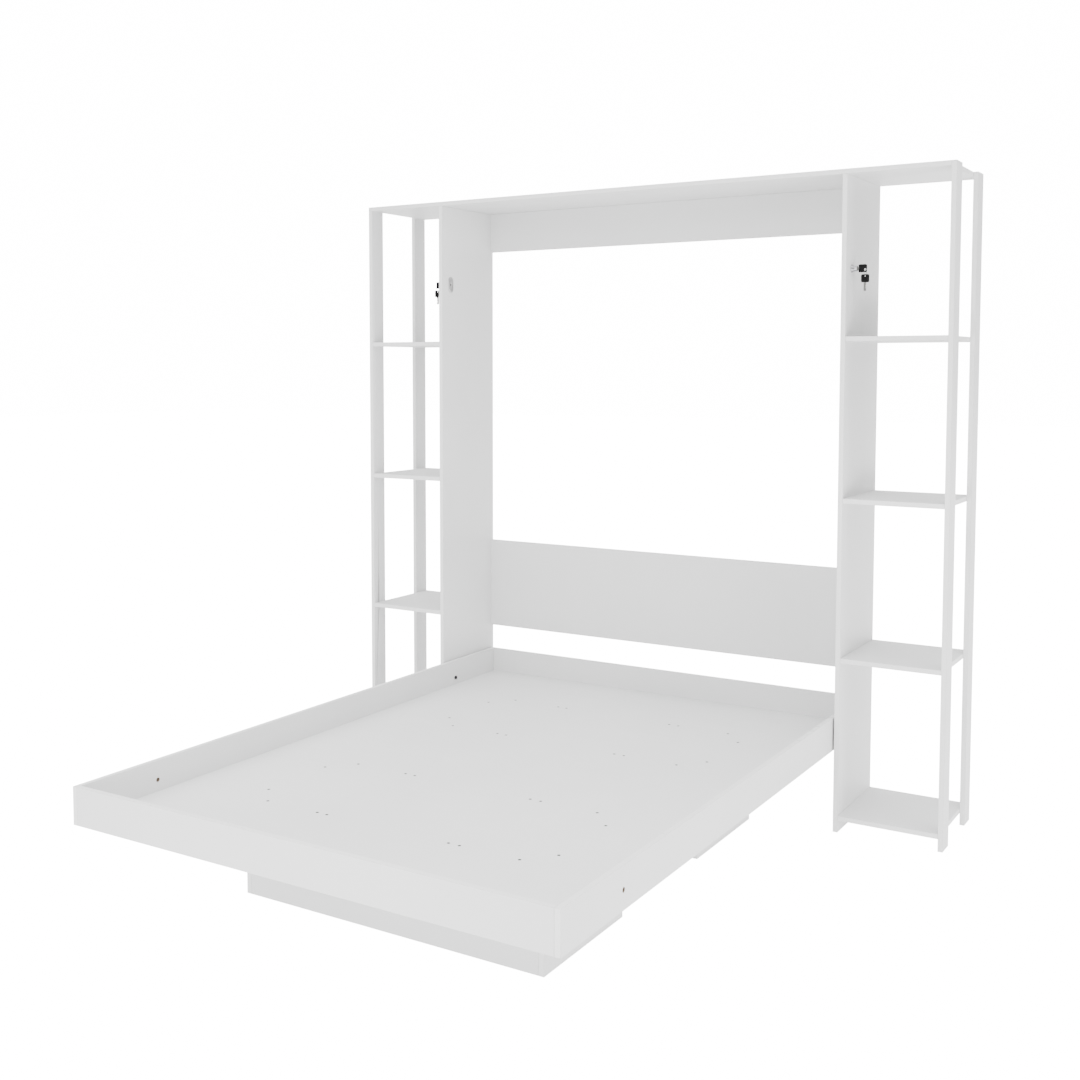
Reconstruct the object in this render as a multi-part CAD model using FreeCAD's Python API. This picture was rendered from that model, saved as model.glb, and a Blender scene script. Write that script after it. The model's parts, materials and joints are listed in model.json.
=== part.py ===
import FreeCAD, Part
import os

# Double wall bed: an open bookcase frame with a bed tray that folds up between its side panels.
# +X is right and +Z is up. The wall is on the +Y side and the bed opens towards -Y.
# The origin is on the floor, at the middle of the open bed's footprint.

BOARD = 15.0                 # all boards are one thickness
CABINET_HEIGHT = 1989.0
CABINET_DEPTH = 328.0
CABINET_HALF_WIDTH = 1047.0
BAY_HALF_WIDTH = 719.5       # half the clear width between the side panels
POST_DEPTH = 65.0
BACK_RAIL_BOTTOM = 1834.0
HEADBOARD_BOTTOM = 433.0
HEADBOARD_TOP = 757.0
SHELF_TOP = 52.0             # upper face of the lowest shelf
SHELF_PITCH = 482.0
SHELF_COUNT = 4

TRAY_HALF_WIDTH = 714.0
TRAY_LENGTH = 1953.0
TRAY_HEIGHT = 100.0
TRAY_BOTTOM = 247.0
TRAY_REACH = 1639.0          # how far the foot stands out from the cabinet's front

LEG_HALF_WIDTH = 463.0
LEG_DEPTH = 394.0
FOOT_LEG_FRONT = -1280.5     # measured from the cabinet's front plane
HEAD_LEG_FRONT = -423.0
DIVIDER_CENTRE = 206.0

PIVOT_DEPTH = 44.0           # behind the cabinet's front plane
PIVOT_HEIGHT = 286.0
PIVOT_RADIUS = 4.0
PIVOT_CLEARANCE = 0.05
BUSH_RADIUS = 6.0
WASHER_THICKNESS = 5.0
WASHER_CLEARANCE = 0.3
PIVOT_HEAD_RADIUS = 6.5
PIVOT_HEAD_THICKNESS = 4.0

LOCK_DEPTH = 51.0            # behind the cabinet's front plane
LOCK_HEIGHT = 1700.0
BARREL_RADIUS = 8.3
PLUG_RADIUS = 5.5
BOLT_RADIUS = 4.0
BOLT_LENGTH = 18.0
KEEP_RADIUS = 6.0            # hole in the tray's side rail that takes the lock bolt
KEY_HEAD_LENGTH = 25.0
KEY_HEAD_HEIGHT = 24.0
KEY_GAP = 3.0                # from the lock's nose to the key's head
KEY_THICKNESS = 2.4
KEY_HEAD_THICKNESS = 5.0
KEY_PLAY = 0.05              # between the key's blade and its slot, on each face
EYE_RADIUS = 3.5             # hole in the working key's head for the ring
SPARE_EYE_RADIUS = 2.0

SCREW_RADIUS = 2.0
SCREW_LENGTH = 50.0
SCREW_HEAD_RADIUS = 4.2
DOWEL_RADIUS = 4.0
DOWEL_LENGTH = 25.0
FIXING_RADIUS = 2.5          # holes for the wall brackets' screws
FIXING_DEPTH = 11.0
FIXING_SPACING = 1200.0

FRONT = (TRAY_REACH - CABINET_DEPTH) / 2.0
WALL = FRONT + CABINET_DEPTH
FOOT = FRONT - TRAY_REACH
HEAD = FOOT + TRAY_LENGTH
TRAY_TOP = TRAY_BOTTOM + TRAY_HEIGHT
UNDER_TOP = CABINET_HEIGHT - BOARD
POST_INNER = CABINET_HALF_WIDTH - BOARD
PANEL_OUTER = BAY_HALF_WIDTH + BOARD
RAIL_INNER = TRAY_HALF_WIDTH - BOARD
SIDES = {"left": -1, "right": 1}
VECTOR = FreeCAD.Vector

parts = {}


def box(x0, x1, y0, y1, z0, z1):
    return Part.makeBox(x1 - x0, y1 - y0, z1 - z0, VECTOR(x0, y0, z0))


def side_box(sign, x0, x1, y0, y1, z0, z1):
    """A box given for the right side, placed on the side that sign names."""
    low, high = sorted((sign * x0, sign * x1))
    return box(low, high, y0, y1, z0, z1)


def rod_x(sign, x0, x1, radius, y, z):
    """A rod along X from x0 to x1 on the right side, mirrored where sign is -1."""
    return Part.makeCylinder(radius, x1 - x0, VECTOR(sign * x0, y, z), VECTOR(sign, 0, 0))


def rod_y(x, y0, y1, radius, z):
    return Part.makeCylinder(radius, y1 - y0, VECTOR(x, y0, z), VECTOR(0, 1, 0))


def ring_x(sign, x0, x1, outer, inner, y, z):
    return rod_x(sign, x0, x1, outer, y, z).cut(rod_x(sign, x0, x1, inner, y, z))


def drill(names, tools):
    for name in names:
        parts[name] = parts[name].cut(tools)


def shelf_name(side, number):
    return "shelf_%s_%d" % (side, number)


def shelf_tops():
    return [SHELF_TOP + SHELF_PITCH * number for number in range(SHELF_COUNT)]


def make_cabinet():
    parts["top_panel"] = box(-POST_INNER, POST_INNER, FRONT, WALL, UNDER_TOP, CABINET_HEIGHT)
    back = WALL - BOARD
    parts["upper_back_rail"] = box(-BAY_HALF_WIDTH, BAY_HALF_WIDTH, back, WALL, BACK_RAIL_BOTTOM, UNDER_TOP)
    parts["headboard"] = box(-BAY_HALF_WIDTH, BAY_HALF_WIDTH, back, WALL, HEADBOARD_BOTTOM, HEADBOARD_TOP)
    for side, sign in SIDES.items():
        panel = side_box(sign, BAY_HALF_WIDTH, PANEL_OUTER, FRONT, WALL, 0.0, UNDER_TOP)
        parts["side_panel_" + side] = panel
        for place, y0 in (("front", FRONT), ("rear", WALL - POST_DEPTH)):
            post = side_box(sign, POST_INNER, CABINET_HALF_WIDTH, y0, y0 + POST_DEPTH, 0.0, CABINET_HEIGHT)
            parts["post_%s_%s" % (place, side)] = post
        for number, top in enumerate(shelf_tops(), 1):
            shelf = side_box(sign, PANEL_OUTER, POST_INNER, FRONT, WALL, top - BOARD, top)
            parts[shelf_name(side, number)] = shelf


def drill_wall_holes():
    """Blind holes in the wall side of the back boards, for the screws of wall brackets."""
    middle_of_rail = (BACK_RAIL_BOTTOM + UNDER_TOP) / 2.0
    middle_of_headboard = (HEADBOARD_BOTTOM + HEADBOARD_TOP) / 2.0
    for name, z in (("upper_back_rail", middle_of_rail), ("headboard", middle_of_headboard)):
        places = (-FIXING_SPACING / 2.0, FIXING_SPACING / 2.0)
        drill([name], [rod_y(x, WALL - FIXING_DEPTH, WALL, FIXING_RADIUS, z) for x in places])


def fit_dowels(node, joints):
    """Fit dowels across joints: (centre, axis, boards that share the dowel)."""
    dowels = []
    for centre, axis, names in joints:
        start = VECTOR(*centre) - VECTOR(*axis) * (DOWEL_LENGTH / 2.0)
        dowel = Part.makeCylinder(DOWEL_RADIUS, DOWEL_LENGTH, start, VECTOR(*axis))
        drill(names, dowel)
        dowels.append(dowel)
    parts[node] = Part.makeCompound(dowels)


def cabinet_joints():
    joints = []
    for side, sign in SIDES.items():
        panel = "side_panel_" + side
        at_shelf = sign * PANEL_OUTER
        at_post = sign * POST_INNER
        at_rail = sign * BAY_HALF_WIDTH
        middle = sign * (BAY_HALF_WIDTH + BOARD / 2.0)
        for number, top in enumerate(shelf_tops(), 1):
            shelf = shelf_name(side, number)
            z = top - BOARD / 2.0
            for y in (FRONT + 110.0, WALL - 110.0):
                joints.append(((at_shelf, y, z), (1, 0, 0), (panel, shelf)))
            for place, y in (("front", FRONT + POST_DEPTH / 2.0), ("rear", WALL - POST_DEPTH / 2.0)):
                joints.append(((at_post, y, z), (1, 0, 0), ("post_%s_%s" % (place, side), shelf)))
        for place, y in (("front", FRONT + POST_DEPTH / 2.0), ("rear", WALL - POST_DEPTH / 2.0)):
            post = "post_%s_%s" % (place, side)
            joints.append(((at_post, y, UNDER_TOP + BOARD / 2.0), (1, 0, 0), (post, "top_panel")))
            joints.append(((middle, y, UNDER_TOP), (0, 0, 1), (panel, "top_panel")))
        for board, heights in (("upper_back_rail", (1864.0, 1944.0)), ("headboard", (480.0, 710.0))):
            for z in heights:
                joints.append(((at_rail, WALL - BOARD / 2.0, z), (1, 0, 0), (panel, board)))
    return joints


def make_tray():
    parts["foot_board"] = box(-RAIL_INNER, RAIL_INNER, FOOT, FOOT + BOARD, TRAY_BOTTOM, TRAY_TOP)
    parts["head_rail"] = box(-RAIL_INNER, RAIL_INNER, HEAD - BOARD, HEAD, TRAY_BOTTOM, TRAY_TOP)
    for side, sign in SIDES.items():
        rail = side_box(sign, RAIL_INNER, TRAY_HALF_WIDTH, FOOT, HEAD, TRAY_BOTTOM, TRAY_TOP)
        parts["side_rail_" + side] = rail
    base_top = TRAY_BOTTOM + BOARD
    parts["base_panel"] = box(-RAIL_INNER, RAIL_INNER, FOOT + BOARD, HEAD - BOARD, TRAY_BOTTOM, base_top)


def tray_joints():
    joints = []
    for side, sign in SIDES.items():
        rail = "side_rail_" + side
        x = sign * RAIL_INNER
        for board, y in (("foot_board", FOOT + BOARD / 2.0), ("head_rail", HEAD - BOARD / 2.0)):
            for z in (TRAY_BOTTOM + 35.0, TRAY_TOP - 25.0):
                joints.append(((x, y, z), (1, 0, 0), (rail, board)))
        for step in range(5):
            y = FOOT + 200.0 + 380.0 * step
            joints.append(((x, y, TRAY_BOTTOM + BOARD / 2.0), (1, 0, 0), (rail, "base_panel")))
    return joints


def make_legs():
    """Two open boxes under the tray: it stands on them, and they are shelves when it is shut."""
    inner = LEG_HALF_WIDTH - BOARD
    for place, offset in (("foot", FOOT_LEG_FRONT), ("head", HEAD_LEG_FRONT)):
        front = FRONT + offset
        rear = front + LEG_DEPTH
        prefix = place + "_leg_"
        parts[prefix + "cross_front"] = box(-inner, inner, front, front + BOARD, 0.0, TRAY_BOTTOM)
        parts[prefix + "cross_rear"] = box(-inner, inner, rear - BOARD, rear, 0.0, TRAY_BOTTOM)
        for side, sign in SIDES.items():
            end_board = side_box(sign, inner, LEG_HALF_WIDTH, front, rear, 0.0, TRAY_BOTTOM)
            parts[prefix + "side_" + side] = end_board
            x0 = DIVIDER_CENTRE - BOARD / 2.0
            divider = side_box(sign, x0, x0 + BOARD, front + BOARD, rear - BOARD, 0.0, TRAY_BOTTOM)
            parts[prefix + "divider_" + side] = divider


def leg_joints():
    joints = []
    for place, offset in (("foot", FOOT_LEG_FRONT), ("head", HEAD_LEG_FRONT)):
        front = FRONT + offset + BOARD
        rear = FRONT + offset + LEG_DEPTH - BOARD
        prefix = place + "_leg_"
        for side, sign in SIDES.items():
            x_side = sign * (LEG_HALF_WIDTH - BOARD)
            x_divider = sign * DIVIDER_CENTRE
            for z in (60.0, 187.0):
                for cross, y, into in (("cross_front", front, 1), ("cross_rear", rear, -1)):
                    names = (prefix + "side_" + side, prefix + cross)
                    joints.append(((x_side, y - into * BOARD / 2.0, z), (1, 0, 0), names))
                    names = (prefix + "divider_" + side, prefix + cross)
                    joints.append(((x_divider, y, z), (0, 1, 0), names))
    return joints


def countersunk_screw(x, y):
    """A wood screw driven down through the base panel into the edge of a leg board."""
    top = TRAY_BOTTOM + BOARD
    head = Part.makeCone(SCREW_RADIUS, SCREW_HEAD_RADIUS, 3.0, VECTOR(x, y, top - 3.0))
    shank_length = SCREW_LENGTH - 7.0
    shank = Part.makeCylinder(SCREW_RADIUS, shank_length, VECTOR(x, y, top - 3.0 - shank_length))
    tip = Part.makeCone(0.4, SCREW_RADIUS, 4.0, VECTOR(x, y, top - SCREW_LENGTH))
    return head.fuse([shank, tip]).removeSplitter()


def screw_recess(x, y):
    """The drive recess of a screw head."""
    return Part.makeCylinder(1.5, 1.8, VECTOR(x, y, TRAY_BOTTOM + BOARD - 1.8))


def fit_base_screws():
    screws = []
    cross_places = (190.0, 222.0, 392.0)
    side_place = LEG_HALF_WIDTH - BOARD / 2.0
    for place, offset in (("foot", FOOT_LEG_FRONT), ("head", HEAD_LEG_FRONT)):
        front = FRONT + offset
        rear = front + LEG_DEPTH
        prefix = place + "_leg_"
        spots = []
        for side, sign in SIDES.items():
            for x in cross_places:
                spots.append((sign * x, front + BOARD / 2.0, prefix + "cross_front"))
                spots.append((sign * x, rear - BOARD / 2.0, prefix + "cross_rear"))
            for y in (front + 80.0, rear - 80.0):
                spots.append((sign * side_place, y, prefix + "side_" + side))
        for x, y, board in spots:
            screw = countersunk_screw(x, y)
            drill([board, "base_panel"], screw)
            screws.append(screw.cut(screw_recess(x, y)))
    parts["base_screws"] = Part.makeCompound(screws)


def make_pivots():
    """Each pivot: a headed bolt through a bush in the side rail, screwed into the side panel."""
    y = FRONT + PIVOT_DEPTH
    z = PIVOT_HEIGHT
    insert_end = PANEL_OUTER - 1.0
    washer_start = BAY_HALF_WIDTH - WASHER_THICKNESS
    inserts, bushes, washers, bolts = [], [], [], []
    for side, sign in SIDES.items():
        insert = ring_x(sign, BAY_HALF_WIDTH, insert_end, 6.0, PIVOT_RADIUS, y, z)
        drill(["side_panel_" + side], rod_x(sign, BAY_HALF_WIDTH, insert_end, 6.0, y, z))
        inserts.append(insert)
        bush_bore = PIVOT_RADIUS + PIVOT_CLEARANCE
        bush = ring_x(sign, RAIL_INNER, TRAY_HALF_WIDTH, BUSH_RADIUS, bush_bore, y, z)
        drill(["side_rail_" + side], rod_x(sign, RAIL_INNER, TRAY_HALF_WIDTH, BUSH_RADIUS, y, z))
        bushes.append(bush)
        washer_bore = PIVOT_RADIUS + WASHER_CLEARANCE
        washers.append(ring_x(sign, washer_start, BAY_HALF_WIDTH, 14.0, washer_bore, y, z))
        head_face = RAIL_INNER - 0.4
        shank = rod_x(sign, head_face, insert_end, PIVOT_RADIUS, y, z)
        head_top = head_face - PIVOT_HEAD_THICKNESS
        head = rod_x(sign, head_top, head_face, PIVOT_HEAD_RADIUS, y, z)
        head = head.makeFillet(1.0, [edge_at(head, sign * head_top)])
        socket = hexagon_x(sign, head_top, 2.4, 2.9, y, z)
        bolts.append(head.fuse(shank).removeSplitter().cut(socket))
    parts["pivot_inserts"] = Part.makeCompound(inserts)
    parts["pivot_bushes"] = Part.makeCompound(bushes)
    parts["pivot_washers"] = Part.makeCompound(washers)
    parts["pivot_bolts"] = Part.makeCompound(bolts)


def edge_at(shape, x):
    """The circular edge that lies in the plane at x."""
    for edge in shape.Edges:
        if abs(edge.BoundBox.XMin - x) < 1e-6 and abs(edge.BoundBox.XMax - x) < 1e-6:
            return edge


def hexagon_x(sign, x, depth, radius, y, z):
    """A hexagonal prism along X that opens at x, for a drive socket."""
    turns = [FreeCAD.Rotation(VECTOR(1, 0, 0), 60.0 * step) for step in range(7)]
    corners = [VECTOR(sign * x, y, z) + turn.multVec(VECTOR(0, radius, 0)) for turn in turns]
    return Part.Face(Part.makePolygon(corners)).extrude(VECTOR(sign * depth, 0, 0))


def revolve_x(sign, outline, y, z):
    """Turn a closed outline of (x, radius) points about the lock's axis."""
    corners = [VECTOR(sign * x, y, z + radius) for x, radius in outline]
    face = Part.Face(Part.makePolygon(corners + corners[:1]))
    return face.revolve(VECTOR(0, y, z), VECTOR(1, 0, 0), 360.0)


def collar_outline():
    """The lock's collar: a flange on the panel, drawn in along a quarter arc to a straight nose."""
    flange_radius = 12.0
    nose = PANEL_OUTER + 18.0
    arc = flange_radius - BARREL_RADIUS
    points = [(BAY_HALF_WIDTH, BOLT_RADIUS + 0.05), (BAY_HALF_WIDTH, BARREL_RADIUS)]
    points += [(PANEL_OUTER, BARREL_RADIUS), (PANEL_OUTER, flange_radius)]
    points.append((PANEL_OUTER + 1.5, flange_radius))
    for step in range(1, 7):
        turn = FreeCAD.Rotation(VECTOR(0, 0, 1), 15.0 * step).multVec(VECTOR(0, 1, 0))
        x = PANEL_OUTER + 1.5 - turn.x * 2.0 * arc
        points.append((x, BARREL_RADIUS + arc * (1.0 + turn.x)))
    points += [(nose - 1.0, BARREL_RADIUS), (nose, BARREL_RADIUS - 1.0), (nose, PLUG_RADIUS + 0.05)]
    plug_end = PANEL_OUTER + 4.0
    points += [(plug_end - 0.3, PLUG_RADIUS + 0.05), (plug_end - 0.3, BOLT_RADIUS + 0.05)]
    return points


def oval_plate(sign, y, z):
    """The oval plate round the bolt's outlet on the panel's inner face."""
    width = 15.0
    straight = 13.0
    low = BAY_HALF_WIDTH - 1.5
    plate = side_box(sign, low, BAY_HALF_WIDTH, y - width, y + width, z - straight, z + straight)
    for end in (-straight, straight):
        plate = plate.fuse(rod_x(sign, low, BAY_HALF_WIDTH, width, y, z + end))
    return plate.removeSplitter().cut(rod_x(sign, low, BAY_HALF_WIDTH, BOLT_RADIUS + 0.6, y, z))


def rounded_slab(sign, x0, x1, y, z0, z1, thickness, radius):
    """A flat slab in the XZ plane with rounded corners."""
    slab = side_box(sign, x0, x1, y - thickness / 2.0, y + thickness / 2.0, z0, z1)
    corners = [edge for edge in slab.Edges if edge.BoundBox.YLength > thickness - 0.1]
    return slab.makeFillet(radius, corners)


def make_locks():
    y = FRONT + LOCK_DEPTH
    z = LOCK_HEIGHT
    nose = PANEL_OUTER + 18.0
    plug_start = PANEL_OUTER + 4.0
    for side, sign in SIDES.items():
        drill(["side_panel_" + side], rod_x(sign, BAY_HALF_WIDTH, PANEL_OUTER, BARREL_RADIUS, y, z))
        parts["lock_barrel_" + side] = revolve_x(sign, collar_outline(), y, z)
        parts["lock_plate_" + side] = oval_plate(sign, y, z)
        bolt_start = BAY_HALF_WIDTH - 1.0
        bolt = rod_x(sign, bolt_start, bolt_start + BOLT_LENGTH, BOLT_RADIUS, y, z)
        parts["lock_bolt_" + side] = bolt.makeChamfer(1.0, [edge_at(bolt, sign * bolt_start)])
        half = KEY_THICKNESS / 2.0
        keyway = side_box(sign, plug_start + 1.0, nose, y - half, y + half, z - 4.0, z + 4.0)
        plug = rod_x(sign, plug_start, nose - 0.4, PLUG_RADIUS, y, z)
        parts["lock_plug_" + side] = plug.cut(keyway)
        half -= KEY_PLAY
        head_start = nose + KEY_GAP
        blade = side_box(sign, plug_start + 1.0, head_start, y - half, y + half, z - 3.9, z + 3.9)
        parts["key_blade_" + side] = blade
        head_end = head_start + KEY_HEAD_LENGTH
        height = KEY_HEAD_HEIGHT / 2.0
        head = rounded_slab(sign, head_start, head_end, y, z - height, z + height, KEY_HEAD_THICKNESS, 4.0)
        eye_x = head_end - 5.0
        parts["key_head_" + side] = head.cut(rod_y(sign * eye_x, y - 5.0, y + 5.0, EYE_RADIUS, z - 4.0))
        make_spare_key(side, sign, eye_x, y, z - 4.0)


def make_spare_key(side, sign, x, y, z):
    """A second key that hangs on a split ring through the first key's eye."""
    ring_radius = 10.0
    centre_z = z - ring_radius + 1.2
    ring = Part.makeTorus(ring_radius, 0.7, VECTOR(sign * x, y, centre_z), VECTOR(1, 0, 0))
    parts["key_ring_" + side] = ring
    top = centre_z - ring_radius + 5.0
    head = rounded_slab(sign, x - 12.0, x + 12.0, y, top - KEY_HEAD_HEIGHT, top, KEY_HEAD_THICKNESS, 4.0)
    eye = rod_y(sign * x, y - 5.0, y + 5.0, SPARE_EYE_RADIUS, top - 5.0)
    parts["spare_key_head_" + side] = head.cut(eye)
    foot = top - KEY_HEAD_HEIGHT
    half = KEY_THICKNESS / 2.0
    blade = side_box(sign, x - 3.9, x + 3.9, y - half, y + half, foot - 26.0, foot)
    tip = [edge for edge in blade.Edges if edge.BoundBox.YLength > 2.0 and edge.BoundBox.ZMax < foot - 20.0]
    parts["spare_key_blade_" + side] = blade.makeChamfer(2.5, tip)


def drill_keeps():
    """The lock bolts enter these holes when the tray stands upright."""
    arm = LOCK_HEIGHT - PIVOT_HEIGHT
    rise = LOCK_DEPTH - PIVOT_DEPTH
    y = FRONT + PIVOT_DEPTH - arm
    z = PIVOT_HEIGHT + rise
    for side, sign in SIDES.items():
        drill(["side_rail_" + side], rod_x(sign, RAIL_INNER, TRAY_HALF_WIDTH, KEEP_RADIUS, y, z))


make_cabinet()
drill_wall_holes()
make_tray()
make_legs()
fit_dowels("cabinet_dowels", cabinet_joints())
fit_dowels("tray_dowels", tray_joints() + leg_joints())
fit_base_screws()
make_pivots()
make_locks()
drill_keeps()

os.makedirs("parts", exist_ok=True)
for name, shape in sorted(parts.items()):
    shape.exportStep("parts/%s.step" % name)
    print(name, "%.1f cm3" % (shape.Volume / 1000.0), "valid", shape.isValid())
print(len(parts), "nodes")
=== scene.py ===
import json
import math
import random

import bmesh
import bpy
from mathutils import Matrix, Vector


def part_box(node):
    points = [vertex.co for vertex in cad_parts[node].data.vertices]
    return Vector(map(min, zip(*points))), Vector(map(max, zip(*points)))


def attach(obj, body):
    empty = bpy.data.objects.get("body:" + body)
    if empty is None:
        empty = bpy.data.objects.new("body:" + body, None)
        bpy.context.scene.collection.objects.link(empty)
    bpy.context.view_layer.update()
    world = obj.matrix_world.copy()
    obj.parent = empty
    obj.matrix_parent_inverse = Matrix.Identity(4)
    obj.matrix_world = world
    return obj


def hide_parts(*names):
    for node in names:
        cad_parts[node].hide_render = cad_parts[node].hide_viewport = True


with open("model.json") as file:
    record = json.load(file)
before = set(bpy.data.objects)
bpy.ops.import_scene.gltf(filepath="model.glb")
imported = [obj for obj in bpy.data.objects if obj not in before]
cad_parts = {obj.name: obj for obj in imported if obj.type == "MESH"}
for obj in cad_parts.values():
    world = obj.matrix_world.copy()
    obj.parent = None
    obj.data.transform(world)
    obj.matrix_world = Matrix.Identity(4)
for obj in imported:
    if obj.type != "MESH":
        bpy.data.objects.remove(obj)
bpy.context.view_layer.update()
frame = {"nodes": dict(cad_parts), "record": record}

random.seed(7)
MM = 0.001
NODES = frame["nodes"]
BODIES = frame["record"]["behaviour"]["bodies"]
BODY_OF = {node: body for body, members in BODIES.items() for node in members}
SIDES = {"left": -1, "right": 1}

EDGE_ROUND = 0.7 * MM                  # how far each board's edges are eased
EASED_ANGLE = math.radians(40.0)       # edges sharper than this are eased
MERGE_ANGLE = math.radians(0.3)        # faces flatter than this are joined into one
WELD_DISTANCE = 0.001 * MM


# Node helpers -----------------------------------------------------------------------------------

TONE_START, TONE_END = 0.32, 0.68      # where a two-tone blend begins and ends on a texture
SPREAD_START, SPREAD_END = 0.3, 0.7    # the part of a texture's range that spread() uses


def new_material(name):
    material = bpy.data.materials.new(name)
    material.use_nodes = True
    tree = material.node_tree
    shader = tree.nodes["Principled BSDF"]
    return material, tree, shader


def add(tree, kind, **values):
    node = tree.nodes.new(kind)
    for key, value in values.items():
        if key in node.inputs:
            node.inputs[key].default_value = value
        else:
            setattr(node, key, value)
    return node


def place(tree, stretch=(1.0, 1.0, 1.0)):
    """Object coordinates in metres, stretched along each axis."""
    coordinates = add(tree, "ShaderNodeTexCoord")
    mapping = add(tree, "ShaderNodeMapping")
    mapping.inputs["Scale"].default_value = stretch
    tree.links.new(coordinates.outputs["Object"], mapping.inputs["Vector"])
    return mapping.outputs["Vector"]


def noise(tree, vector, scale, detail=2.0, roughness=0.5):
    texture = add(tree, "ShaderNodeTexNoise", Scale=scale, Detail=detail, Roughness=roughness)
    tree.links.new(vector, texture.inputs["Vector"])
    return texture.outputs["Fac"]


def spread(tree, value, low, high, start=SPREAD_START, end=SPREAD_END):
    """Map a texture's start to end onto low to high."""
    mapped = add(tree, "ShaderNodeMapRange")
    for key, number in (("From Min", start), ("From Max", end), ("To Min", low), ("To Max", high)):
        mapped.inputs[key].default_value = number
    tree.links.new(value, mapped.inputs["Value"])
    return mapped.outputs["Result"]


def two_tone(tree, value, first, second):
    """Blend from first to second across the middle of a texture's range."""
    ramp = add(tree, "ShaderNodeValToRGB")
    ramp.color_ramp.elements[0].position = TONE_START
    ramp.color_ramp.elements[1].position = TONE_END
    ramp.color_ramp.elements[0].color = (*first, 1.0)
    ramp.color_ramp.elements[1].color = (*second, 1.0)
    tree.links.new(value, ramp.inputs["Fac"])
    return ramp.outputs["Color"]


def multiply(tree, first, second):
    mix = add(tree, "ShaderNodeMix", data_type="RGBA", blend_type="MULTIPLY")
    mix.inputs["Factor"].default_value = 1.0
    tree.links.new(first, mix.inputs["A"])
    tree.links.new(second, mix.inputs["B"])
    return mix.outputs["Result"]


def bump(tree, shader, height, distance, strength=1.0):
    node = add(tree, "ShaderNodeBump", Strength=strength, Distance=distance)
    tree.links.new(height, node.inputs["Height"])
    tree.links.new(node.outputs["Normal"], shader.inputs["Normal"])


# Materials --------------------------------------------------------------------------------------

def white_melamine(name, first, second, roughness):
    """Satin white melamine: a pressed-paper pearl, a fine pressed grain and faint handling marks."""
    material, tree, shader = new_material(name)
    flat = place(tree)
    cloud = noise(tree, flat, scale=2.6, detail=3.0, roughness=0.55)
    speck = noise(tree, flat, scale=900.0, detail=2.0, roughness=0.6)
    tone = two_tone(tree, cloud, first, second)
    dots = two_tone(tree, speck, (0.972, 0.972, 0.970), (1.0, 1.0, 1.0))
    tree.links.new(multiply(tree, tone, dots), shader.inputs["Base Color"])
    wipe = noise(tree, place(tree, stretch=(1.0, 3.5, 1.0)), scale=5.0, detail=5.0, roughness=0.65)
    wiped = spread(tree, wipe, low=roughness - 0.05, high=roughness + 0.07)
    tree.links.new(wiped, shader.inputs["Roughness"])
    grain = noise(tree, flat, scale=1400.0, detail=2.0, roughness=0.55)
    bump(tree, shader, grain, distance=0.05 * MM, strength=0.35)
    shader.inputs["Specular IOR Level"].default_value = 0.42
    return material


def band_glue_and_shade():
    """The eased corner where edge banding meets the board's face: a darker hairline that is partly a glue
    line and partly painted shade.
    """
    material, tree, shader = new_material("band_glue_and_shade")
    run = noise(tree, place(tree), scale=38.0, detail=3.0, roughness=0.6)
    # Darker than the melamine face: a glue line, and painted shade on the eased corner.
    colour = two_tone(tree, run, (0.50, 0.50, 0.495), (0.60, 0.60, 0.595))
    tree.links.new(colour, shader.inputs["Base Color"])
    tree.links.new(spread(tree, run, low=0.36, high=0.55), shader.inputs["Roughness"])
    bump(tree, shader, noise(tree, place(tree), scale=600.0), distance=0.08 * MM, strength=0.4)
    return material


def raw_chipboard():
    """Drilled holes show the board's core: pressed chips in several browns."""
    material, tree, shader = new_material("raw_chipboard")
    chips = add(tree, "ShaderNodeTexVoronoi", Scale=420.0)
    tree.links.new(place(tree, stretch=(1.0, 1.0, 2.2)), chips.inputs["Vector"])
    colour = two_tone(tree, chips.outputs["Distance"], (0.13, 0.10, 0.075), (0.24, 0.19, 0.14))
    tree.links.new(colour, shader.inputs["Base Color"])
    shader.inputs["Roughness"].default_value = 0.85
    bump(tree, shader, chips.outputs["Distance"], distance=0.4 * MM, strength=0.7)
    return material


def metal(name, first, second, roughness, scratch, stretch):
    """A metal with fine drawn scratches along one direction and a little tarnish."""
    material, tree, shader = new_material(name)
    lines = noise(tree, place(tree, stretch), scale=scratch, detail=4.0, roughness=0.7)
    tarnish = noise(tree, place(tree), scale=60.0, detail=3.0, roughness=0.5)
    tree.links.new(two_tone(tree, tarnish, first, second), shader.inputs["Base Color"])
    shader.inputs["Metallic"].default_value = 1.0
    worn = spread(tree, lines, low=roughness * 0.75, high=roughness * 1.35)
    tree.links.new(worn, shader.inputs["Roughness"])
    bump(tree, shader, lines, distance=0.03 * MM, strength=0.4)
    return material


def moulded_plastic(name, first, second, roughness):
    """Moulded plastic with a spark-eroded grain and a slight colour drift."""
    material, tree, shader = new_material(name)
    drift = noise(tree, place(tree), scale=90.0, detail=3.0, roughness=0.5)
    grain = noise(tree, place(tree), scale=2600.0, detail=2.0, roughness=0.6)
    tree.links.new(two_tone(tree, drift, first, second), shader.inputs["Base Color"])
    eroded = spread(tree, grain, low=roughness - 0.08, high=roughness + 0.1)
    tree.links.new(eroded, shader.inputs["Roughness"])
    bump(tree, shader, grain, distance=0.06 * MM, strength=0.5)
    shader.inputs["Specular IOR Level"].default_value = 0.06
    return material


def beech():
    """Turned beech with its short flecks along the grain."""
    material, tree, shader = new_material("beech_dowel")
    grain = noise(tree, place(tree, stretch=(0.15, 1.0, 1.0)), scale=240.0, detail=4.0, roughness=0.6)
    colour = two_tone(tree, grain, (0.62, 0.44, 0.27), (0.80, 0.64, 0.44))
    tree.links.new(colour, shader.inputs["Base Color"])
    shader.inputs["Roughness"].default_value = 0.62
    bump(tree, shader, grain, distance=0.1 * MM, strength=0.5)
    return material


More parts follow.
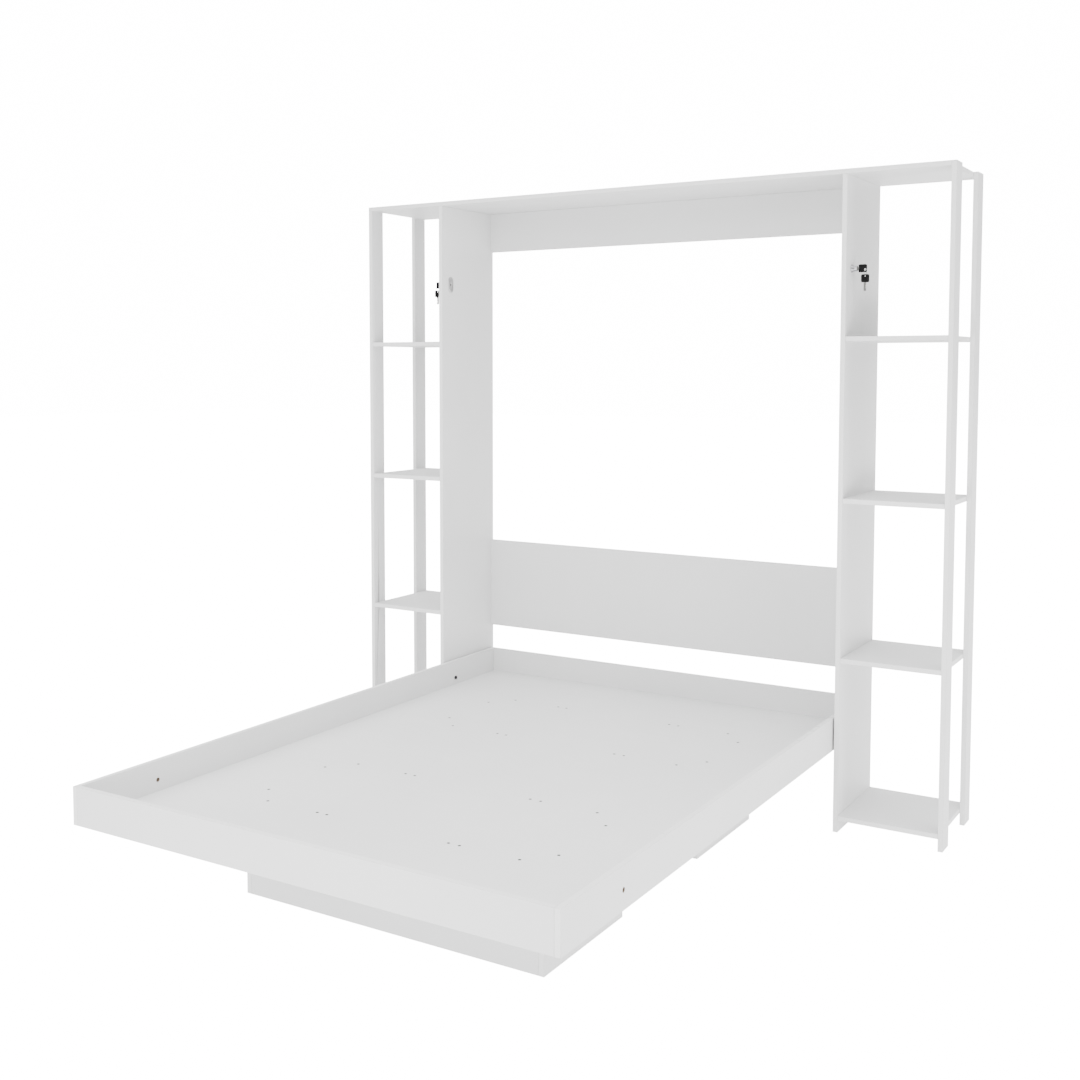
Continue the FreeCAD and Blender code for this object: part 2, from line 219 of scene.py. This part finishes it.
FACE = white_melamine(
    "melamine_face", first=(0.645, 0.647, 0.648), second=(0.675, 0.676, 0.675), roughness=0.36)
BAND = white_melamine(
    "edge_banding", first=(0.695, 0.696, 0.696), second=(0.725, 0.725, 0.723), roughness=0.30)
GLUE_AND_SHADE = band_glue_and_shade()
CORE = raw_chipboard()
CHROME = metal(
    "polished_chrome", first=(0.32, 0.32, 0.33), second=(0.44, 0.44, 0.45), roughness=0.18,
    scratch=300.0, stretch=(1.0, 6.0, 6.0))
SATIN = metal(
    "satin_plate", first=(0.56, 0.56, 0.56), second=(0.68, 0.68, 0.68), roughness=0.34,
    scratch=400.0, stretch=(1.0, 5.0, 5.0))
NICKEL = metal(
    "drawn_nickel", first=(0.12, 0.118, 0.115), second=(0.20, 0.198, 0.19), roughness=0.32,
    scratch=500.0, stretch=(0.3, 4.0, 4.0))
ZINC = metal(
    "zinc_screw", first=(0.08, 0.08, 0.078), second=(0.15, 0.15, 0.145), roughness=0.40,
    scratch=700.0, stretch=(2.0, 2.0, 2.0))
OXIDE = metal(
    "black_oxide", first=(0.030, 0.030, 0.031), second=(0.060, 0.060, 0.061), roughness=0.40,
    scratch=600.0, stretch=(2.0, 2.0, 2.0))
BLACK = moulded_plastic(
    "black_key_plastic", first=(0.0030, 0.0030, 0.0032), second=(0.0060, 0.0060, 0.0062), roughness=0.42)
NYLON = moulded_plastic(
    "black_nylon", first=(0.018, 0.018, 0.019), second=(0.035, 0.035, 0.036), roughness=0.5)
BEECH = beech()


# Mesh helpers -----------------------------------------------------------------------------------

def add_object(name, data, node):
    """Link a new piece that rides on the same body as the node."""
    piece = bpy.data.objects.new(name, data)
    bpy.context.scene.collection.objects.link(piece)
    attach(piece, BODY_OF[node])
    return piece


def clean_copy(node):
    """The node's own mesh with flat regions merged into single faces."""
    shape = bmesh.new()
    shape.from_mesh(NODES[node].data)
    bmesh.ops.remove_doubles(shape, verts=shape.verts, dist=WELD_DISTANCE)
    limits = {"verts": shape.verts, "edges": shape.edges}
    bmesh.ops.dissolve_limit(shape, angle_limit=MERGE_ANGLE, **limits)
    mesh = bpy.data.meshes.new(node + "_mesh")
    shape.to_mesh(mesh)
    shape.free()
    return mesh


def ease_edges(piece, width, segments, material_index=-1):
    """Round a piece's sharp edges. A material index of -1 keeps the faces' own materials."""
    modifier = piece.modifiers.new("eased_edges", "BEVEL")
    modifier.width = width
    modifier.segments = segments
    modifier.limit_method = "ANGLE"
    modifier.angle_limit = EASED_ANGLE
    modifier.use_clamp_overlap = False
    modifier.material = material_index
    modifier.harden_normals = True


# Boards -----------------------------------------------------------------------------------------

FACE_SLOT, BAND_SLOT, GLUE_AND_SHADE_SLOT, CORE_SLOT = range(4)
ON_THE_SURFACE = 0.1 * MM              # a face this near the board's box is one of its outer faces
SQUARE_ON = 0.999                      # the least cosine between such a face and its axis


def thin_axis(node):
    """The axis along which a board is thinnest."""
    low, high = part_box(node)
    size = high - low
    return min(range(3), key=lambda axis: size[axis])


def finish_board(node):
    """A board with melamine faces, banded edges, eased corners in a darker colour that is partly glue line
    and partly painted shade, and bare holes.
    """
    mesh = clean_copy(node)
    thin = thin_axis(node)
    low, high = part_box(node)
    for material in (FACE, BAND, GLUE_AND_SHADE, CORE):
        mesh.materials.append(material)
    for face in mesh.polygons:
        centre, normal = face.center, face.normal
        axis = max(range(3), key=lambda index: abs(normal[index]))
        inset = min(abs(centre[axis] - low[axis]), abs(centre[axis] - high[axis]))
        if inset >= ON_THE_SURFACE or abs(normal[axis]) < SQUARE_ON:
            face.material_index = CORE_SLOT
        elif axis != thin:
            face.material_index = BAND_SLOT
    piece = add_object(node + "_board", mesh, node)
    # The eased corners take the darker colour, which is partly a glue line and partly painted shade.
    ease_edges(piece, EDGE_ROUND, segments=2, material_index=GLUE_AND_SHADE_SLOT)
    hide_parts(node)


def finish_boards():
    """Every node of laminated board."""
    for subpart in frame["record"]["subparts"]:
        node = subpart["node"]
        if subpart["material_slot"] == "laminate":
            finish_board(node)


# Locks and keys ---------------------------------------------------------------------------------

def smooth_copy(node, name, material, width, segments=2):
    """The node's own shape with rounded edges and a material, in place of the node."""
    mesh = clean_copy(node)
    mesh.materials.append(material)
    piece = add_object(name, mesh, node)
    ease_edges(piece, width, segments)
    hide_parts(node)
    for face in mesh.polygons:
        face.use_smooth = True


def prism(outline, thickness, place_point):
    """A plate of a flat outline's (along, across) points, each placed by place_point(along, across, out)."""
    shape = bmesh.new()
    half = thickness / 2.0
    front = [shape.verts.new(place_point(along, across, -half)) for along, across in outline]
    back = [shape.verts.new(place_point(along, across, half)) for along, across in outline]
    shape.faces.new(front)
    shape.faces.new(back[::-1])
    for index in range(len(outline)):
        after = (index + 1) % len(outline)
        shape.faces.new((front[after], front[index], back[index], back[after]))
    bmesh.ops.recalc_face_normals(shape, faces=shape.faces)
    mesh = bpy.data.meshes.new("prism")
    shape.to_mesh(mesh)
    shape.free()
    return mesh


# A hanging key's blade, along its length from the shoulder.
CUTS = (1.1, 2.3, 1.6, 2.7, 1.3)       # each cut's depth below the blade's edge, in mm
SHOULDER = 3.0 * MM                    # uncut length at the head's end
TIP = 4.0 * MM                         # uncut length at the tip
TIP_CHAMFER = 2.4 * MM                 # where the back edge starts to slope to the tip
TIP_SHOULDER = 2.2 * MM                # where the cut edge starts to slope to the tip
TIP_NARROWING = 0.8                    # the cut edge's half width at the slope, as a share of the blade's
TIP_LOW, TIP_HIGH = -0.8 * MM, 0.4 * MM
CUT_MOUTH, CUT_FLOOR = 0.45, 0.15      # half widths of a cut, as shares of the cuts' pitch

# The groove down each face of the blade: it is not milled but is a thin darker strip laid on the face, which
# paints the groove's shade.
GROOVE_START = 1.0 * MM
GROOVE_HALF_WIDTH = 0.9 * MM
GROOVE_RUNOUT, GROOVE_POINT = 6.0 * MM, 5.0 * MM     # ends, from the tip
GROOVE_THICKNESS = 0.16 * MM
GROOVE_OFFSET = 1.4 * MM               # from the blade's centre, away from its cuts


def key_outline(length, half_width, cuts):
    """A key's blade from its shoulder to its tip, with a cut edge of notches on one side."""
    points = [(0.0, -half_width), (length - TIP_CHAMFER, -half_width), (length, TIP_LOW), (length, TIP_HIGH)]
    points.append((length - TIP_SHOULDER, half_width * TIP_NARROWING))
    pitch = (length - SHOULDER - TIP) / len(cuts)
    for index, cut in enumerate(reversed(cuts)):
        middle = length - TIP - pitch * (index + 0.5)
        depth = half_width - cut * MM
        points.append((middle + pitch * CUT_MOUTH, half_width))
        points.append((middle + pitch * CUT_FLOOR, depth))
        points.append((middle - pitch * CUT_FLOOR, depth))
    return points + [(SHOULDER, half_width), (0.0, half_width)]


def finish_spare_blade(side):
    """The hanging key's blade, cut along one edge, with a darker strip down each face as the groove's painted
    shade.
    """
    node = "spare_key_blade_" + side
    low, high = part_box(node)
    centre = (low + high) / 2.0
    length = high.z - low.z
    half_width = (high.x - low.x) / 2.0
    sign = SIDES[side]
    outline = key_outline(length, half_width, CUTS)
    mesh = prism(outline, high.y - low.y, lambda along, across, out: (
        centre.x + sign * across, centre.y + out, high.z - along))
    mesh.materials.append(NICKEL)
    piece = add_object("cut_" + node, mesh, node)
    ease_edges(piece, 0.25 * MM, segments=2)
    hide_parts(node)
    groove_shade_outline = [
        (GROOVE_START, -GROOVE_HALF_WIDTH),
        (length - GROOVE_RUNOUT, -GROOVE_HALF_WIDTH),
        (length - GROOVE_POINT, 0.0),
        (length - GROOVE_RUNOUT, GROOVE_HALF_WIDTH),
        (GROOVE_START, GROOVE_HALF_WIDTH),
    ]
    for face_sign, tag in ((-1, "front"), (1, "rear")):
        groove_y = centre.y + face_sign * (high.y - low.y) / 2.0
        # A darker zinc strip on the flat face paints the shade of a groove; the blade itself is not recessed.
        groove_shade_strip = prism(groove_shade_outline, GROOVE_THICKNESS, lambda along, across, out: (
            centre.x - sign * GROOVE_OFFSET + sign * across, groove_y + out, high.z - along))
        groove_shade_strip.materials.append(ZINC)
        add_object("groove_%s_%s" % (tag, node), groove_shade_strip, node)


RING_STEPS = 44
RING_TURNS = 1.85
RING_WIRE = 0.55                       # the wire's radius, as a share of the node's
RING_PITCH = 0.9                       # how far the turns drift apart, as a share of the node's wire radius


def finish_ring(side):
    """A split ring: two turns of wire that lie on each other."""
    node = "key_ring_" + side
    low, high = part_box(node)
    centre = (low + high) / 2.0
    wire = (high.x - low.x) / 2.0
    radius = (high.z - low.z) / 2.0 - wire
    curve = bpy.data.curves.new("split_ring_curve_" + side, "CURVE")
    curve.dimensions = "3D"
    curve.bevel_depth = wire * RING_WIRE
    curve.bevel_resolution = 4
    curve.use_fill_caps = True
    spline = curve.splines.new("NURBS")
    spline.points.add(RING_STEPS)
    for index in range(RING_STEPS + 1):
        fraction = index / RING_STEPS
        angle = 2.0 * math.pi * RING_TURNS * fraction
        x = centre.x + (fraction - 0.5) * wire * RING_PITCH
        y = centre.y + radius * math.sin(angle)
        z = centre.z + radius * math.cos(angle)
        spline.points[index].co = (x, y, z, 1.0)
    spline.order_u = 4
    spline.use_endpoint_u = True
    curve.materials.append(NICKEL)
    ring = add_object("split_ring_" + side, curve, node)
    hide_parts(node)


def finish_locks():
    """Each side's collar, plate, bolt and plug, and the two keys on their ring."""
    for side in SIDES:
        smooth_copy("lock_barrel_" + side, "lock_collar_" + side, CHROME, 0.35 * MM)
        smooth_copy("lock_plate_" + side, "bolt_plate_" + side, SATIN, 0.4 * MM)
        smooth_copy("lock_bolt_" + side, "sliding_bolt_" + side, NICKEL, 0.3 * MM)
        smooth_copy("lock_plug_" + side, "key_plug_" + side, NICKEL, 0.2 * MM)
        smooth_copy("key_blade_" + side, "blade_in_lock_" + side, NICKEL, 0.2 * MM)
        for node in ("key_head_" + side, "spare_key_head_" + side):
            smooth_copy(node, "moulded_" + node, BLACK, 1.1 * MM, segments=3)
        finish_spare_blade(side)
        finish_ring(side)


# Fasteners --------------------------------------------------------------------------------------

HEAD_SIDES = 36
HEAD_RINGS = ((0.46, 2.2), (0.97, 0.12), (0.93, 0.0))     # share of the radius, and mm below the face
ARM_LENGTH, ARM_HALF_WIDTH, RECESS_DEPTH = 0.56, 0.17, 0.5     # shares of the radius
RECESS_TAPER = 0.6                     # the recess's floor, as a share of its mouth
SMALLEST_HEAD = 3.0 * MM               # narrower solids in the node are not heads


def islands(mesh):
    """Groups of vertex indices that belong to one solid."""
    parent = list(range(len(mesh.vertices)))

    def root(index):
        while parent[index] != index:
            parent[index] = parent[parent[index]]
            index = parent[index]
        return index

    for edge in mesh.edges:
        parent[root(edge.vertices[0])] = root(edge.vertices[1])
    groups = {}
    for index in range(len(mesh.vertices)):
        groups.setdefault(root(index), []).append(index)
    return list(groups.values())


def closed_edges(shape, loop):
    """The edges round a closed loop of vertices."""
    count = len(loop)
    return [shape.edges.get((loop[index], loop[(index + 1) % count])) for index in range(count)]


def cross_recess(shape, centre, radius, top, turn):
    """A countersunk head with a cross recess, its rim at radius and its face at top."""
    arm, half, depth = radius * ARM_LENGTH, radius * ARM_HALF_WIDTH, radius * RECESS_DEPTH
    corner = [(arm, -half), (arm, half), (half, half)]
    cross = []
    for quarter in range(4):
        angle = turn + quarter * math.pi / 2.0
        for x, y in corner:
            turned_x = x * math.cos(angle) - y * math.sin(angle)
            turned_y = x * math.sin(angle) + y * math.cos(angle)
            cross.append((turned_x, turned_y))
    rings = []
    for factor, drop in HEAD_RINGS:
        ring = []
        for index in range(HEAD_SIDES):
            angle = turn + 2.0 * math.pi * index / HEAD_SIDES
            x = centre.x + radius * factor * math.cos(angle)
            y = centre.y + radius * factor * math.sin(angle)
            ring.append(shape.verts.new((x, y, top - drop * MM)))
        rings.append(ring)
    for lower, upper in zip(rings, rings[1:]):
        for index in range(HEAD_SIDES):
            after = (index + 1) % HEAD_SIDES
            shape.faces.new((lower[index], lower[after], upper[after], upper[index]))
    shape.faces.new(rings[0][::-1])
    mouth = [shape.verts.new((centre.x + x, centre.y + y, top)) for x, y in cross]
    floor = []
    for x, y in cross:
        floor.append(shape.verts.new((centre.x + x * RECESS_TAPER, centre.y + y * RECESS_TAPER, top - depth)))
    for index in range(len(cross)):
        after = (index + 1) % len(cross)
        shape.faces.new((mouth[after], mouth[index], floor[index], floor[after]))
    shape.faces.new(floor)
    edges = closed_edges(shape, rings[-1]) + closed_edges(shape, mouth)
    bmesh.ops.triangle_fill(shape, edges=edges, use_beauty=True)


def finish_screws():
    """Screw heads with cross recesses, each stopped at its own angle."""
    node = "base_screws"
    mesh = NODES[node].data
    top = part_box(node)[1].z
    shape = bmesh.new()
    for group in islands(mesh):
        points = [mesh.vertices[index].co for index in group]
        low = Vector([min(point[axis] for point in points) for axis in range(3)])
        high = Vector([max(point[axis] for point in points) for axis in range(3)])
        centre = (low + high) / 2.0
        radius = (high.x - low.x) / 2.0
        if radius > SMALLEST_HEAD:
            cross_recess(shape, centre, radius, top, random.uniform(0.0, math.pi / 2.0))
    bmesh.ops.recalc_face_normals(shape, faces=shape.faces)
    heads = bpy.data.meshes.new("screw_heads")
    shape.to_mesh(heads)
    shape.free()
    heads.materials.append(ZINC)
    piece = add_object("screw_heads", heads, node)
    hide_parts(node)


def finish_pivots():
    """The two hinges' parts and the dowels."""
    smooth_copy("pivot_bolts", "pivot_bolt_pair", OXIDE, 0.4 * MM)
    smooth_copy("pivot_bushes", "pivot_bush_pair", NYLON, 0.3 * MM)
    smooth_copy("pivot_washers", "pivot_washer_pair", NYLON, 0.5 * MM)
    smooth_copy("pivot_inserts", "pivot_insert_pair", ZINC, 0.3 * MM)
    for node in ("cabinet_dowels", "tray_dowels"):
        smooth_copy(node, node + "_turned", BEECH, 0.6 * MM)


# Stage ------------------------------------------------------------------------------------------

# Strengths: the sky's light grows from the horizon to the zenith, and the floor gives back its own.
HORIZON_LIGHT = 0.15
ZENITH_LIGHT = 4.6
FLOOR_LIGHT = 1.75
# What the camera sees of the sky and the floor: both are white.
BACKDROP = 16.0
FLOOR_GLOW = 16.0
FLOOR_WIDTH = 60.0
FLOOR_DROP = 0.5 * MM                  # the floor lies this far under the object
WHITE = (1.0, 1.0, 1.0, 1.0)
FLOOR_COLOUR = (0.4, 0.4, 0.4, 1.0)

# Soft lights: place, aim, width and height, power, and whether the object mirrors them.
LIGHTS = {
    "right_low": ((3.7, -0.5, 0.35), (0.7, 0.0, 0.6), (2.2, 0.6), 110.0, False),
    "front_near": ((0.0, -3.0, 0.5), (0.0, -0.9, 0.2), (2.4, 0.6), 68.0, True),
    "over_foot": ((0.0, -1.3, 2.4), (0.0, -0.8, 0.2), (1.6, 1.0), 30.0, True),
}

CAMERA_PLACE = (1.9624, -3.1482, 1.4057)
CAMERA_PITCH = math.radians(90.0 - 3.653)
CAMERA_HEADING = math.radians(31.905)
SENSOR_WIDTH = 36.0
FOCAL_LENGTH = 43.575
SHIFT_X, SHIFT_Y = 0.0206, -0.0823


def brighter_to_camera(tree, plain, seen):
    """A strength of plain for the light it gives, and of seen where it is looked at directly."""
    path = add(tree, "ShaderNodeLightPath")
    mapped = add(tree, "ShaderNodeMapRange")
    mapped.inputs["To Max"].default_value = seen
    if isinstance(plain, float):
        mapped.inputs["To Min"].default_value = plain
    else:
        tree.links.new(plain, mapped.inputs["To Min"])
    tree.links.new(path.outputs["Is Camera Ray"], mapped.inputs["Value"])
    return mapped.outputs["Result"]


def make_floor():
    """A pale floor that melts into the backdrop."""
    material, tree, shader = new_material("pale_floor")
    tree.nodes.remove(shader)
    diffuse = add(tree, "ShaderNodeBsdfDiffuse", Color=FLOOR_COLOUR)
    glow = add(tree, "ShaderNodeEmission", Color=WHITE)
    tree.links.new(brighter_to_camera(tree, FLOOR_LIGHT, FLOOR_GLOW), glow.inputs["Strength"])
    both = add(tree, "ShaderNodeAddShader")
    tree.links.new(diffuse.outputs["BSDF"], both.inputs[0])
    tree.links.new(glow.outputs["Emission"], both.inputs[1])
    tree.links.new(both.outputs["Shader"], tree.nodes["Material Output"].inputs["Surface"])
    bpy.ops.mesh.primitive_plane_add(size=FLOOR_WIDTH, location=(0.0, 0.0, -FLOOR_DROP))
    floor = bpy.context.object
    floor.name = "floor"
    floor.data.materials.append(material)


def make_light(name, location, target, size, power, mirrored):
    """A rectangular soft light that the camera doesn't see."""
    data = bpy.data.lights.new(name, "AREA")
    data.shape = "RECTANGLE"
    data.size, data.size_y = size
    data.energy = power
    light = bpy.data.objects.new(name, data)
    light.location = location
    aim = Vector(target) - Vector(location)
    light.rotation_euler = aim.to_track_quat("-Z", "Y").to_euler()
    light.visible_camera = False
    light.visible_glossy = mirrored
    bpy.context.scene.collection.objects.link(light)


def make_lights():
    """A white sky that is brightest overhead, and the soft lights."""
    world = bpy.data.worlds.new("studio")
    world.use_nodes = True
    tree = world.node_tree
    background = tree.nodes["Background"]
    background.inputs["Color"].default_value = WHITE
    direction = add(tree, "ShaderNodeTexCoord")
    parts = add(tree, "ShaderNodeSeparateXYZ")
    tree.links.new(direction.outputs["Generated"], parts.inputs["Vector"])
    sky = spread(tree, parts.outputs["Z"], HORIZON_LIGHT, ZENITH_LIGHT, start=0.0, end=1.0)
    tree.links.new(brighter_to_camera(tree, sky, BACKDROP), background.inputs["Strength"])
    bpy.context.scene.world = world
    for name, settings in LIGHTS.items():
        make_light(name, *settings)


def make_camera():
    data = bpy.data.cameras.new("camera")
    data.sensor_width = SENSOR_WIDTH
    data.lens = FOCAL_LENGTH
    data.shift_x = SHIFT_X
    data.shift_y = SHIFT_Y
    camera = bpy.data.objects.new("camera", data)
    camera.location = CAMERA_PLACE
    camera.rotation_euler = (CAMERA_PITCH, 0.0, CAMERA_HEADING)
    bpy.context.scene.collection.objects.link(camera)
    bpy.context.scene.camera = camera


finish_boards()
finish_locks()
finish_screws()
finish_pivots()
make_floor()
make_lights()
make_camera()
